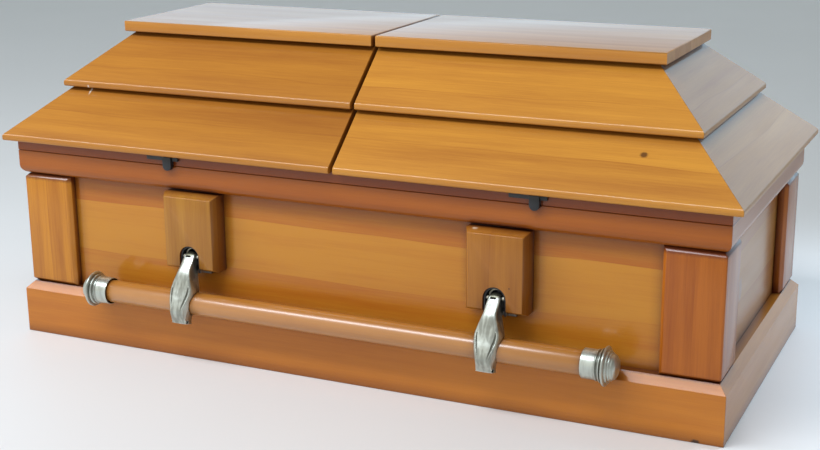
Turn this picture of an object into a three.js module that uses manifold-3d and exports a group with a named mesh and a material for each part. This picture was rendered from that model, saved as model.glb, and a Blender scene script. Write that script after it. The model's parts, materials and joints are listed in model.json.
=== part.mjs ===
// Wooden coffin with a stepped, hipped lid in two halves and a swing-bar handle on each long side.
// Millimetres. X runs along the coffin, the front with the catches faces -Y, and Z points up.
// The origin is on the floor, at the middle of the footprint.

import * as THREE from 'three';
import { mergeVertices } from 'three/addons/utils/BufferGeometryUtils.js';
import Module from 'manifold-3d';

// Overall size, measured over the lid's lower eaves
const coffinLength = 1280;
const coffinWidth = 589;

// Clearances
const fit = 0.3;
const mitreGap = 0.2;
const cutPast = 2;
const weldDistance = 0.0001;

// Box: every inset is measured inwards from the lid's lower eave
const plinthInset = 13.3;
const plinthFaceHeight = 79;
const plinthChamfer = 12.5;
const casingInset = 23.5;
const casingThickness = 17;
const casingHeight = 196.9;
const casingFaceWidth = 88;
const casingBevel = 6;
const casingArris = 1.2;
const railInset = 18;
const railHeight = 42;
const railRound = 15;
const railRoundSteps = 5;
const seamChamfer = 0.9;
const rimStripHeight = 17.9;
const boxWall = 18;
const wallFootClearance = 6;
const bottomClearance = 12;
const bottomThickness = 18;

// Lid: two tiers of sloping boards under a flat slab, cut in two at the middle
const lidSplit = 7;
const lidPitch = THREE.MathUtils.degToRad(40);
const edgeRise = 9.7;
const noseTopRadius = 6;
const noseTopSteps = 4;
const noseBottomRadius = 2.6;
const noseBottomSteps = 2;
const lowerBoard = 24;
const upperBoard = 16.3;
const tierStep = 78.5;
const tierOverlap = 41.5;
const upperRun = 94;
const slabOverhang = 15.3;
const slabThickness = 18.3;
const slabArris = 1.2;

// Lid hinge, a long strip hinge behind each half
const hingeLength = 420;
const hingeKnuckles = 5;
const hingeKnuckleGap = 0.5;
const hingeRadius = 3.5;
const hingePinRadius = 1.5;
const hingeStandoff = 5;
const hingeDrop = 4;
const hingeLeaf = 1.6;
const hingeBodyLeafHeight = 26;
const hingeLidLeafReach = 9;
const hingeSides = 8;

// Catch under each front eave
const catchSpacing = 641;
const catchLength = 60;
const catchHeight = 9;
const catchThickness = 4;
const catchTabOffset = 11.5;
const catchTabWidth = 16;
const catchTabDrop = 23;
const catchTabThickness = 8.5;
const catchTabSteps = 6;
const catchClearance = 0.5;

// Handle blocks
const handleSpacing = 543.6;
const blockFaceWidth = 89.2;
const blockHeight = 130.4;
const blockThickness = 34.5;
const blockBevelAcross = 6;
const blockBevelDeep = 11.7;
const blockTopGap = 2;
const notchRadius = 18.5;
const notchRise = 24.2;
const archSteps = 10;

// Lugs that carry the arms
const pivotStandoff = 27;
const pivotRise = 23.4;
const pinRadius = 3;
const pinSides = 10;
const lugPad = 5.2;
const lugWall = 2.7;
const lugDepth = 31;
const lugFootLeft = 13;
const lugFootRight = 29;
const lugFootThickness = 6.3;
const lugFootDepth = 13.8;
const lugStopHalfWidth = 7;
const hoodInner = 11;
const hoodWall = 2.4;
const hoodRise = 1;
const hoodLeg = 18;
const hoodDepth = 22.4;

// Swing arms: lengths run down the arm from its pivot, depths run out from the arm's middle line
const armReach = 76.3;
const armLean = THREE.MathUtils.degToRad(17.6);
const armFoot = 36;
const armKnobRadius = 9.2;
const armKnobRise = 9;
const armKnobTip = 0.02;
const armKnobShares = [1, 0.86, 0.5, 0];
const armNeckHalfWidth = 9.4;
const armLeafHalfWidth = 18.6;
const armLeafCentre = 58;
const armLeafSpread = 43;
const armFootHalfWidth = 10.6;
const armLip = 1.6;
const armLipRun = 10;
const armEdgeAtKnob = 5;
const armEdgeAtShoulder = 19.5;
const armEdgeAtBar = 25.5;
const armFootTuck = 8;
const armCrown = 4.2;
const armCrownAtGroove = 3.2;
const armNeckBack = 5;
const armShoulderBack = 10.8;
const armFootBack = 6;
const armShoulder = 22;
const armShoulderRun = 6;
const armJaw = 25;
const armCheek = 6.8;
const armCheekShare = 0.62;
const armFrontSteps = 6;
const armLeafSteps = 6;
const armSlotWidth = 10;
const armSlotHeight = 1.6;
const armSlotDepth = 2.2;
const armGrooveLength = 56;
const armGrooveWidth = 3.2;
const armGrooveDepth = 1.6;
const armGrooveSteps = 4;
const armGrooveInset = 6.4;
const armPocketDepth = 10;
const armPocketWall = 3.2;

// Swing bar and its end caps
const barRadius = 19;
const barLength = 904;
const barSides = 28;
const capSocketDepth = 32;
const capMouthDepth = 10;
const capMouthGap = 2.3;
const capWall = 1.4;
const capFerrule = 21;
const capBeadRadius = 1.9;
const capBeadLift = 1.7;
const capFlankRadius = 26;
const capRimRadius = 30.5;
const capRimWidth = 4;
const capRimEdge = 1;
const capRingARadius = 24.6;
const capRingBRadius = 21.8;
const capRingWidth = 3.3;
const capDomeRadius = 19.8;
const capDomeHeight = 9.6;
const capDomeSteps = 3;
const capSides = 16;

// Places that follow from the sizes above
const halfLength = coffinLength / 2;
const halfWidth = coffinWidth / 2;
const wallInset = casingInset + casingThickness;
const wallInnerInset = wallInset + boxWall;
const plinthTop = plinthFaceHeight + plinthChamfer;
const casingBottom = plinthTop + fit;
const casingTop = casingBottom + casingHeight;
const railBottom = casingTop + fit;
const railTop = railBottom + railHeight;
const rimBottom = railTop + fit;
const rimTop = rimBottom + rimStripHeight;
const eaveBottom = rimTop + fit;
const pitchTan = Math.tan(lidPitch);
const pitchCos = Math.cos(lidPitch);
const pitchSin = Math.sin(lidPitch);
const lowerEdge = eaveBottom + edgeRise;
const upperEdge = lowerEdge + tierStep * pitchTan + (upperBoard + fit) / pitchCos;
const slabBottom = upperEdge + upperRun * pitchTan + fit;
const slabInset = tierStep + upperRun - slabOverhang;
const wallFace = halfWidth - wallInset;
const blockFace = wallFace + fit + blockThickness;
const blockTop = railBottom - blockTopGap;
const blockBottom = blockTop - blockHeight;
const notchCentre = blockBottom + notchRise;
const pivotY = wallFace + pivotStandoff;
const pivotZ = blockBottom + pivotRise;
const barY = pivotY + armReach * Math.sin(armLean);
const barZ = pivotZ - armReach * Math.cos(armLean);
const armX = handleSpacing / 2;
const capSocketRadius = (barRadius + fit) / Math.cos(Math.PI / capSides);
const capMouthRadius = barRadius + capMouthGap;
const capFerruleRadius = capMouthRadius + capWall;

// Finishes
function finish(color, roughness, metalness) {
  return () => new THREE.MeshStandardMaterial({ color, roughness, metalness });
}
const honeyWood = finish(0xc07a34, 0.32, 0);
const uprightWood = finish(0xb87033, 0.32, 0);
const barWood = finish(0xc98440, 0.25, 0);
const pewter = finish(0xb4b3a4, 0.28, 1);
const blackMetal = finish(0x16181a, 0.5, 0.6);
const hingeMetal = finish(0x8f8a78, 0.4, 1);

// Solid joins and cuts
const wasm = await Module();
wasm.setup();

function toSolid(geometry) {
  const bare = geometry.clone();
  bare.deleteAttribute('normal');
  bare.deleteAttribute('uv');
  const merged = mergeVertices(bare, weldDistance);
  return new wasm.Manifold(new wasm.Mesh({
    numProp: 3,
    vertProperties: new Float32Array(merged.attributes.position.array),
    triVerts: new Uint32Array(merged.index.array),
  }));
}

function toGeometry(solid) {
  const mesh = solid.getMesh();
  const geometry = new THREE.BufferGeometry();
  geometry.setAttribute('position', new THREE.BufferAttribute(mesh.vertProperties, 3));
  geometry.setIndex(new THREE.BufferAttribute(mesh.triVerts, 1));
  geometry.computeVertexNormals();
  return geometry;
}

function join(...geometries) {
  return toGeometry(geometries.map(toSolid).reduce((whole, piece) => whole.add(piece)));
}

function cut(geometry, ...tools) {
  return toGeometry(tools.map(toSolid).reduce((whole, tool) => whole.subtract(tool), toSolid(geometry)));
}

// A box between two corners
function boxBetween(x0, x1, y0, y1, z0, z1) {
  const box = new THREE.BoxGeometry(Math.abs(x1 - x0), Math.abs(y1 - y0), Math.abs(z1 - z0));
  return box.translate((x0 + x1) / 2, (y0 + y1) / 2, (z0 + z1) / 2);
}

// Round rod along X
function rodAlongX(x0, x1, y, z, radius, sides) {
  const rod = new THREE.CylinderGeometry(radius, radius, x1 - x0, sides);
  return rod.rotateZ(Math.PI / 2).translate((x0 + x1) / 2, y, z);
}

// Points of an arc in a plane, from one angle in degrees to another
function arc(cx, cy, radius, from, to, steps) {
  return Array.from({ length: steps + 1 }, (_, index) => {
    const angle = THREE.MathUtils.degToRad(from + ((to - from) * index) / steps);
    return new THREE.Vector2(cx + radius * Math.cos(angle), cy + radius * Math.sin(angle));
  });
}

function at(x, y) {
  return new THREE.Vector2(x, y);
}

// A closed skin over a row of rings of [x, y, z] points. The first and last ring are filled in,
// seen along the axis that is left over from the two given ones.
function loft(rings, axisA, axisB) {
  const count = rings[0].length;
  const points = rings.flat();
  const triangles = [];
  for (let ring = 0; ring < rings.length - 1; ring += 1) {
    for (let index = 0; index < count; index += 1) {
      const a = ring * count + index;
      const b = ring * count + ((index + 1) % count);
      triangles.push([a, b, b + count], [a, b + count, a + count]);
    }
  }
  const fill = (ring, offset, forward) => {
    const outline = ring.map((point) => at(point[axisA], point[axisB]));
    const turns = THREE.ShapeUtils.area(outline) > 0;
    THREE.ShapeUtils.triangulateShape(outline.slice(), []).forEach((corner) => {
      const sameWay = THREE.ShapeUtils.area(corner.map((index) => outline[index])) > 0 === turns;
      const face = corner.map((index) => index + offset);
      triangles.push(sameWay === forward ? face : face.reverse());
    });
  };
  fill(rings[0], 0, false);
  fill(rings[rings.length - 1], points.length - count, true);
  const key = (index) => points[index].map((value) => value.toFixed(4)).join(' ');
  const real = triangles.filter((face) => new Set(face.map(key)).size === face.length);
  const volume = real.reduce((sum, face) => {
    const [a, b, c] = face.map((index) => new THREE.Vector3(...points[index]));
    return sum + a.dot(b.cross(c));
  }, 0);
  const faces = volume > 0 ? real : real.map((face) => face.slice().reverse());
  const geometry = new THREE.BufferGeometry();
  geometry.setAttribute('position', new THREE.Float32BufferAttribute(points.flat(), 3));
  geometry.setIndex(faces.flat());
  return toGeometry(toSolid(geometry));
}

// The four sides of the coffin: how far each turns from the front, how far it lies from the
// middle at the eave, and half its length there
const sides = {
  front: { turn: 0, reach: halfWidth, halfRun: halfLength },
  right: { turn: Math.PI / 2, reach: halfLength, halfRun: halfWidth },
  back: { turn: Math.PI, reach: halfWidth, halfRun: halfLength },
  left: { turn: -Math.PI / 2, reach: halfLength, halfRun: halfWidth },
};

// A board of constant section along one side. The section is given as inset and height, and
// each end is a mitre unless a square end is named.
function board(section, side, squareStart, squareEnd) {
  const geometry = new THREE.ExtrudeGeometry(new THREE.Shape(section), { depth: 1, bevelEnabled: false });
  const position = geometry.attributes.position;
  for (let index = 0; index < position.count; index += 1) {
    const inset = position.getX(index);
    const height = position.getY(index);
    const mitre = side.halfRun - inset - mitreGap;
    const start = squareStart ?? -mitre;
    const end = squareEnd ?? mitre;
    const run = start + (end - start) * position.getZ(index);
    position.setXYZ(index, run, inset - side.reach, height);
  }
  geometry.computeVertexNormals();
  return geometry;
}

function node(name, geometry, material) {
  const mesh = new THREE.Mesh(geometry, material());
  mesh.name = name;
  return mesh;
}

function sideNode(name, section, sideName, material, squareStart, squareEnd) {
  const side = sides[sideName];
  const mesh = node(name, board(section, side, squareStart, squareEnd), material);
  mesh.rotation.z = side.turn;
  return mesh;
}

// Box and plinth
const plinthSection = [
  at(plinthInset, 0),
  at(plinthInset, plinthFaceHeight),
  at(plinthInset + plinthChamfer, plinthTop),
  at(wallInset - fit, plinthTop),
  at(wallInset - fit, 0),
];

const wallSection = [
  at(wallInset, wallFootClearance),
  at(wallInset, railTop),
  at(wallInnerInset, railTop),
  at(wallInnerInset, wallFootClearance),
];

const railSection = [
  at(wallInset - fit, railBottom),
  ...arc(railInset + railRound, railBottom + railRound, railRound, 270, 180, railRoundSteps),
  at(railInset, railTop - seamChamfer),
  at(railInset + seamChamfer, railTop),
  at(wallInset - fit, railTop),
];

const rimSection = [
  at(railInset + seamChamfer, rimBottom),
  at(railInset, rimBottom + seamChamfer),
  at(railInset, rimTop),
  at(wallInnerInset, rimTop),
  at(wallInnerInset, rimBottom),
];

function bottomBoard() {
  const x = halfLength - wallInnerInset - fit;
  const y = halfWidth - wallInnerInset - fit;
  const top = bottomClearance + bottomThickness;
  return node('bottom_board', boxBetween(-x, x, -y, y, bottomClearance, top), honeyWood);
}

// Corner casing: two bevelled boards glued into an L round each corner of the box
function cornerCasing(name, signX, signY) {
  const faceX = halfLength - casingInset;
  const faceY = halfWidth - casingInset;
  const backX = faceX - casingThickness + fit;
  const backY = faceY - casingThickness + fit;
  const ring = (height, bevel) => {
    const endX = faceX - casingFaceWidth;
    const endY = faceY - casingFaceWidth;
    const outerX = faceX - bevel;
    const outerY = faceY - bevel;
    return [
      [outerX - casingArris, outerY],
      [outerX, outerY - casingArris],
      [outerX, endY - bevel],
      [faceX - casingBevel, endY - casingBevel],
      [backX, endY - casingBevel],
      [backX, backY],
      [endX - casingBevel, backY],
      [endX - casingBevel, faceY - casingBevel],
      [endX - bevel, outerY],
    ].map(([x, y]) => [signX * x, signY * y, height]);
  };
  const rings = [
    ring(casingBottom, casingBevel),
    ring(casingBottom + casingBevel, 0),
    ring(casingTop - casingBevel, 0),
    ring(casingTop, casingBevel),
  ];
  return node(name, loft(rings, 0, 1), uprightWood);
}

// Lid boards: the section of one tier, with its rounded nose over the tier below
function slopeSection(inset, edgeHeight, thickness, topPoints) {
  const underside = edgeHeight - edgeRise;
  const noseHeight = edgeHeight + noseTopRadius * pitchTan - noseTopRadius / pitchCos;
  const normalAngle = 90 + THREE.MathUtils.radToDeg(lidPitch);
  const innerInset = inset + (thickness / pitchCos - edgeRise) / pitchTan;
  return [
    at(innerInset, underside),
    ...arc(
      inset + noseBottomRadius, underside + noseBottomRadius, noseBottomRadius, 270, 180, noseBottomSteps,
    ),
    ...arc(inset + noseTopRadius, noseHeight, noseTopRadius, 180, normalAngle, noseTopSteps),
    ...topPoints,
  ];
}

const lowerRun = tierStep + tierOverlap;
const lowerTop = lowerEdge + lowerRun * pitchTan;
const lowerSection = slopeSection(0, lowerEdge, lowerBoard, [
  at(lowerRun, lowerTop),
  at(lowerRun + lowerBoard * pitchSin, lowerTop - lowerBoard * pitchCos),
]);

const upperTopInset = tierStep + upperRun;
const upperTop = slabBottom - fit;
const upperSection = slopeSection(tierStep, upperEdge, upperBoard, [
  at(upperTopInset, upperTop),
  at(upperTopInset + upperBoard / pitchSin, upperTop),
]);

function slab(name, sign) {
  const outer = halfLength - slabInset;
  const inner = lidSplit / 2;
  const deep = halfWidth - slabInset;
  const ring = (height, arris) => [
    [sign * (inner + arris), -deep + arris, height],
    [sign * (outer - arris), -deep + arris, height],
    [sign * (outer - arris), deep - arris, height],
    [sign * (inner + arris), deep - arris, height],
  ];
  const top = slabBottom + slabThickness;
  const rings = [
    ring(slabBottom, slabArris),
    ring(slabBottom + slabArris, 0),
    ring(top - slabArris, 0),
    ring(top, slabArris),
  ];
  return node(name, loft(rings, 0, 1), honeyWood);
}

// Catch: a flat plate under the eave with a rounded thumb tab
function lidCatch(name, sign) {
  const middle = (sign * catchSpacing) / 2;
  const back = -(halfWidth - railInset + catchClearance);
  const front = back - catchThickness;
  const top = eaveBottom - fit;
  const plate = boxBetween(
    middle - catchLength / 2, middle + catchLength / 2, front, back, top - catchHeight, top,
  );
  const radius = catchTabWidth / 2;
  const outline = [
    at(-radius, 0),
    ...arc(0, radius - catchTabDrop, radius, 180, 360, catchTabSteps),
    at(radius, 0),
  ];
  const tab = new THREE.ExtrudeGeometry(new THREE.Shape(outline), {
    depth: catchTabThickness,
    bevelEnabled: false,
  });
  tab.rotateX(Math.PI / 2);
  tab.translate(middle + catchTabOffset, back, top - cutPast);
  return node(name, join(plate, tab), blackMetal);
}

// Strip hinge: leaves with knuckles that take turns on one pin behind the rim
const hingeY = halfWidth - railInset + hingeStandoff;
const hingeZ = eaveBottom - hingeDrop;

function knuckles(middle, wanted) {
  const pitch = hingeLength / hingeKnuckles;
  return Array.from({ length: hingeKnuckles }, (_, index) => index)
    .filter((index) => index % 2 === wanted)
    .map((index) => {
      const start = middle - hingeLength / 2 + index * pitch + hingeKnuckleGap / 2;
      return [start, start + pitch - hingeKnuckleGap];
    });
}

function bodyLeaf(name, sign) {
  const middle = (sign * coffinLength) / 4;
  const wall = halfWidth - railInset + fit;
  const leaf = boxBetween(
    middle - hingeLength / 2, middle + hingeLength / 2,
    wall, wall + hingeLeaf, hingeZ - hingeBodyLeafHeight, hingeZ - hingeRadius - hingeKnuckleGap,
  );
  const barrels = knuckles(middle, 0).flatMap(([start, end]) => [
    rodAlongX(start, end, hingeY, hingeZ, hingeRadius, hingeSides),
    boxBetween(start, end, wall, wall + hingeLeaf, hingeZ - hingeRadius - cutPast, hingeZ),
    boxBetween(start, end, wall, hingeY - hingePinRadius, hingeZ - hingeLeaf, hingeZ),
  ]);
  const bore = rodAlongX(
    middle - hingeLength / 2 - cutPast, middle + hingeLength / 2 + cutPast,
    hingeY, hingeZ, hingePinRadius + fit, hingeSides,
  );
  return node(name, cut(join(leaf, ...barrels), bore), hingeMetal);
}

function lidLeaf(name, sign) {
  const middle = (sign * coffinLength) / 4;
  const top = eaveBottom - fit;
  const clear = hingeY + hingeRadius + hingeKnuckleGap;
  const leaf = boxBetween(
    middle - hingeLength / 2, middle + hingeLength / 2,
    clear, hingeY + hingeLidLeafReach, top - hingeLeaf, top,
  );
  const barrels = knuckles(middle, 1).flatMap(([start, end]) => [
    rodAlongX(start, end, hingeY, hingeZ, hingeRadius, hingeSides),
    boxBetween(start, end, hingeY, clear + cutPast, top - hingeLeaf, top),
    boxBetween(start, end, hingeY, hingeY + hingeLeaf, hingeZ, top),
  ]);
  const pin = rodAlongX(
    middle - hingeLength / 2, middle + hingeLength / 2, hingeY, hingeZ, hingePinRadius, hingeSides,
  );
  return node(name, join(leaf, pin, ...barrels), hingeMetal);
}

// An arch that stands on a flat foot, pushed along Y from one depth to another
function archAlongY(radius, centreZ, footZ, y0, y1) {
  const outline = [
    at(radius, footZ),
    ...arc(0, centreZ, radius, 0, 180, archSteps),
    at(-radius, footZ),
  ];
  const arch = new THREE.ExtrudeGeometry(new THREE.Shape(outline), {
    depth: y1 - y0,
    bevelEnabled: false,
  });
  return arch.rotateX(Math.PI / 2).translate(0, y1, 0);
}

function handleBlock() {
  const halfAcross = blockFaceWidth / 2 + blockBevelAcross;
  const ring = (y, bevel) => [
    [-halfAcross + bevel, y, blockBottom + bevel],
    [halfAcross - bevel, y, blockBottom + bevel],
    [halfAcross - bevel, y, blockTop - bevel],
    [-halfAcross + bevel, y, blockTop - bevel],
  ];
  const body = loft([
    ring(-wallFace - fit, 0),
    ring(-blockFace + blockBevelDeep, 0),
    ring(-blockFace, blockBevelAcross),
  ], 0, 2);
  const notch = archAlongY(
    notchRadius, notchCentre, blockBottom - cutPast, -blockFace - cutPast, -wallFace + cutPast,
  );
  return cut(body, notch);
}

function lug() {
  const back = -wallFace - fit;
  const padFront = back - lugPad;
  const footTop = blockBottom - fit;
  const hoodCentre = pivotZ + hoodRise;
  const hoodFoot = hoodCentre - hoodLeg;
  const linerRadius = notchRadius - fit;
  const linerFront = back - lugDepth;
  const pad = archAlongY(linerRadius, notchCentre, footTop - cutPast, padFront, back);
  const linerShell = archAlongY(
    linerRadius, notchCentre, footTop - cutPast, linerFront, padFront + cutPast,
  );
  const linerHollow = archAlongY(
    linerRadius - lugWall, notchCentre, footTop - cutPast * 2, linerFront - cutPast, padFront,
  );
  const liner = cut(linerShell, linerHollow);
  const foot = boxBetween(
    -lugFootLeft, lugFootRight, back - lugFootDepth, back, footTop - lugFootThickness, footTop,
  );
  const stop = boxBetween(
    -lugStopHalfWidth, lugStopHalfWidth, armStop + fit, back, footTop - lugFootThickness, footTop,
  );
  const shell = archAlongY(
    hoodInner + hoodWall, hoodCentre, hoodFoot, back - hoodDepth, padFront + cutPast,
  );
  const hollow = archAlongY(
    hoodInner, hoodCentre, hoodFoot - cutPast, back - hoodDepth - cutPast, padFront,
  );
  const hood = cut(shell, hollow);
  const pinEnd = linerRadius - lugWall / 2;
  const pin = rodAlongX(-pinEnd, pinEnd, -pivotY, pivotZ, pinRadius, pinSides);
  return join(pad, liner, foot, stop, hood, pin);
}

// Arm: half width at the front edge, that edge, its crown, the back and the cheeks' half width
// at a length below the pivot
const armEnd = armReach + armFoot;
const { smoothstep, lerp } = THREE.MathUtils;

function bump(length) {
  const away = (length - armLeafCentre) / armLeafSpread;
  return Math.abs(away) < 1 ? (1 + Math.cos(Math.PI * away)) / 2 : 0;
}

function armSection(length) {
  const stem = lerp(armNeckHalfWidth, armFootHalfWidth, smoothstep(length, armShoulder, armEnd));
  const flare = armLip * smoothstep(length, armEnd - armLipRun, armEnd - armLip);
  const above = Math.max(0, -length) / armKnobRise;
  const knob = Math.sqrt(Math.max(1 - above ** 2, armKnobTip));
  const halfAcross = length < 0
    ? armKnobRadius * knob
    : stem + (armLeafHalfWidth - stem) * bump(length) + flare;
  const toShoulder = smoothstep(length, armKnobRise / 2, armShoulder + armShoulderRun / 2);
  const toBar = smoothstep(length, armLeafCentre, armReach + armKnobRise);
  const tuck = smoothstep(length, armReach + armJaw, armEnd);
  const ridge = lerp(armEdgeAtKnob * knob, armEdgeAtShoulder, toShoulder)
    + (armEdgeAtBar - armEdgeAtShoulder) * toBar - armFootTuck * tuck;
  const toBack = smoothstep(length, armShoulder, armShoulder + armShoulderRun);
  const back = lerp(armNeckBack * knob, armShoulderBack, toBack)
    - (armShoulderBack - armFootBack) * tuck;
  const cheek = halfAcross + armCheek * smoothstep(length, armShoulder, armReach)
    * (1 - smoothstep(length, armReach + armJaw / 2, armEnd - armLip));
  return { halfAcross, ridge, crown: armCrown * knob, back, cheek };
}

// How far out the stop stands so that the back of the shoulder rests on it
const stopLength = (pivotRise + lugFootThickness / 2) / Math.cos(armLean);
const armStop = armSection(stopLength).back * Math.cos(armLean)
  - pivotY - stopLength * Math.sin(armLean);

function armRing(length) {
  const { halfAcross, ridge, crown, back, cheek } = armSection(length);
  const front = Array.from({ length: armFrontSteps + 1 }, (_, index) => {
    const angle = -Math.PI / 2 + (Math.PI * index) / armFrontSteps;
    return [halfAcross * Math.sin(angle), -(ridge + crown * Math.cos(angle)), -length];
  });
  return [
    ...front,
    [cheek, -ridge * armCheekShare, -length],
    [halfAcross, back, -length],
    [-halfAcross, back, -length],
    [-cheek, -ridge * armCheekShare, -length],
  ];
}

function armStations() {
  const knob = armKnobShares.map((share) => -share * armKnobRise);
  const shoulder = [armKnobRise, (armKnobRise + armShoulder) / 2, armShoulder, armShoulder + armShoulderRun];
  const leafStart = armShoulder + armShoulderRun;
  const leafEnd = armReach + armJaw;
  const leaf = Array.from({ length: armLeafSteps }, (_, index) => (
    leafStart + ((leafEnd - leafStart) * (index + 1)) / armLeafSteps
  ));
  return [...knob, ...shoulder, ...leaf, armEnd - armLipRun / 2, armEnd];
}

// Long lens-shaped groove beside each ridge of the arm, cut square to its front
function armGroove(sign) {
  const half = armGrooveLength / 2;
  const side = (turn) => Array.from({ length: armGrooveSteps + 1 }, (_, index) => {
    const share = index / armGrooveSteps;
    const length = armLeafCentre + armGrooveWidth + turn * (share * 2 - 1) * half;
    const { halfAcross } = armSection(length);
    const middle = halfAcross - armGrooveInset;
    return at(sign * (middle + (turn * armGrooveWidth * Math.sin(Math.PI * share)) / 2), -length);
  });
  const outline = [...side(1), ...side(-1).slice(1, -1)];
  const depthAt = (length) => {
    const { ridge, crown } = armSection(length);
    return ridge + (crown / armCrown) * armCrownAtGroove - armGrooveDepth;
  };
  const ring = (lift) => outline.map((point) => [point.x, -(depthAt(-point.y) + lift), point.y]);
  return loft([ring(0), ring(armCrown * 2)], 0, 2);
}

function arm() {
  const body = loft(armStations().map(armRing), 0, 1);
  const saddleHalf = armLeafHalfWidth + armCheek + cutPast;
  const saddle = rodAlongX(-saddleHalf, saddleHalf, 0, -armReach, barRadius + fit, barSides);
  const eye = rodAlongX(-armLeafHalfWidth, armLeafHalfWidth, 0, 0, pinRadius + fit + mitreGap, pinSides);
  const neckFront = armEdgeAtKnob + armCrown;
  const slot = boxBetween(
    -armSlotWidth / 2, armSlotWidth / 2, -neckFront - cutPast, -neckFront + armSlotDepth,
    -armSlotHeight / 2, armSlotHeight / 2,
  );
  const foot = armSection(armEnd);
  const pocket = boxBetween(
    -foot.halfAcross + armPocketWall, foot.halfAcross - armPocketWall,
    -foot.ridge + armPocketWall, foot.back - armPocketWall, -armEnd - cutPast, -armEnd + armPocketDepth,
  );
  return cut(body, saddle, eye, slot, pocket, armGroove(1), armGroove(-1));
}

// End cap, turned: a ferrule over the end of the bar, a bead, a wide rim, two rings and a dome
function endCap() {
  const beadMiddle = capFerrule + capBeadRadius;
  const flankStart = beadMiddle + capBeadRadius;
  const rimStart = flankStart + capBeadRadius * 2 + capRimWidth;
  const rimEnd = rimStart + capRimWidth;
  const ringAEnd = rimEnd + capRingWidth;
  const ringBEnd = ringAEnd + capRingWidth;
  const edge = capRimEdge;
  const dome = Array.from({ length: capDomeSteps }, (_, index) => {
    const angle = (Math.PI / 2) * ((index + 1) / capDomeSteps);
    return at(
      index + 1 === capDomeSteps ? 0 : capDomeRadius * Math.cos(angle),
      ringBEnd + capDomeHeight * Math.sin(angle),
    );
  });
  const profile = [
    at(0, capSocketDepth + fit),
    at(capSocketRadius, capSocketDepth + fit),
    at(capSocketRadius, capMouthDepth),
    at(capMouthRadius, capMouthDepth),
    at(capMouthRadius, 0),
    at(capFerruleRadius, 0),
    at(capFerruleRadius, capFerrule),
    at(capFerruleRadius + capBeadLift, beadMiddle),
    at(capFerruleRadius, flankStart),
    at(capFlankRadius, flankStart + capBeadRadius),
    at(capRimRadius - edge, rimStart),
    at(capRimRadius, rimStart + edge),
    at(capRimRadius, rimEnd - edge),
    at(capRingARadius, rimEnd),
    at(capRingARadius, ringAEnd),
    at(capRingBRadius, ringAEnd + edge / 2),
    at(capRingBRadius, ringBEnd),
    at(capDomeRadius, ringBEnd),
    ...dome,
  ];
  return new THREE.LatheGeometry(profile, capSides);
}

// One long side's handle: blocks, lugs, arms, bar and end caps. The name says which side.
function handle(sideName) {
  const group = new THREE.Group();
  group.rotation.z = sides[sideName].turn;
  ['left', 'right'].forEach((hand) => {
    const local = (hand === 'left' ? -1 : 1) * (sideName === 'front' ? 1 : -1);
    const tag = `${sideName}_${hand}`;
    const blockMesh = node(`handle_block_${tag}`, handleBlock(), uprightWood);
    blockMesh.position.x = local * armX;
    const lugMesh = node(`handle_lug_${tag}`, lug(), blackMetal);
    lugMesh.position.x = local * armX;
    const armMesh = node(`handle_arm_${tag}`, arm(), pewter);
    armMesh.position.set(local * armX, -pivotY, pivotZ);
    armMesh.rotation.x = -armLean;
    const capMesh = node(`bar_cap_${tag}`, endCap(), pewter);
    capMesh.position.set(local * (barLength / 2 - capSocketDepth), -barY, barZ);
    capMesh.rotation.z = (-local * Math.PI) / 2;
    group.add(blockMesh, lugMesh, armMesh, capMesh);
  });
  const bar = rodAlongX(-barLength / 2, barLength / 2, -barY, barZ, barRadius, barSides);
  group.add(node(`handle_bar_${sideName}`, bar, barWood));
  return group;
}

// The whole coffin
const coffin = new THREE.Group();
coffin.add(bottomBoard());
Object.keys(sides).forEach((sideName) => {
  coffin.add(
    sideNode(`plinth_${sideName}`, plinthSection, sideName, honeyWood),
    sideNode(`box_wall_${sideName}`, wallSection, sideName, honeyWood),
    sideNode(`cap_rail_${sideName}`, railSection, sideName, honeyWood),
    sideNode(`rim_strip_${sideName}`, rimSection, sideName, honeyWood),
  );
});
[['left', -1], ['right', 1]].forEach(([hand, signX]) => {
  coffin.add(
    cornerCasing(`corner_casing_front_${hand}`, signX, -1),
    cornerCasing(`corner_casing_back_${hand}`, signX, 1),
  );
  const frontEnds = hand === 'left' ? [undefined, -lidSplit / 2] : [lidSplit / 2, undefined];
  const backEnds = hand === 'left' ? [lidSplit / 2, undefined] : [undefined, -lidSplit / 2];
  [['lower', lowerSection], ['upper', upperSection]].forEach(([tier, section]) => {
    coffin.add(
      sideNode(`lid_${hand}_${tier}_front`, section, 'front', honeyWood, ...frontEnds),
      sideNode(`lid_${hand}_${tier}_end`, section, hand, honeyWood),
      sideNode(`lid_${hand}_${tier}_back`, section, 'back', honeyWood, ...backEnds),
    );
  });
  coffin.add(
    slab(`lid_${hand}_slab`, signX),
    lidCatch(`lid_${hand}_catch`, signX),
    lidLeaf(`lid_${hand}_hinge_leaf`, signX),
    bodyLeaf(`rim_hinge_leaf_${hand}`, signX),
  );
});
coffin.add(handle('front'), handle('back'));

export default coffin;
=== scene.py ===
import json
from math import cos, pi, radians, sin, sqrt

import bmesh
import bpy
from mathutils import Matrix, Vector


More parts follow.
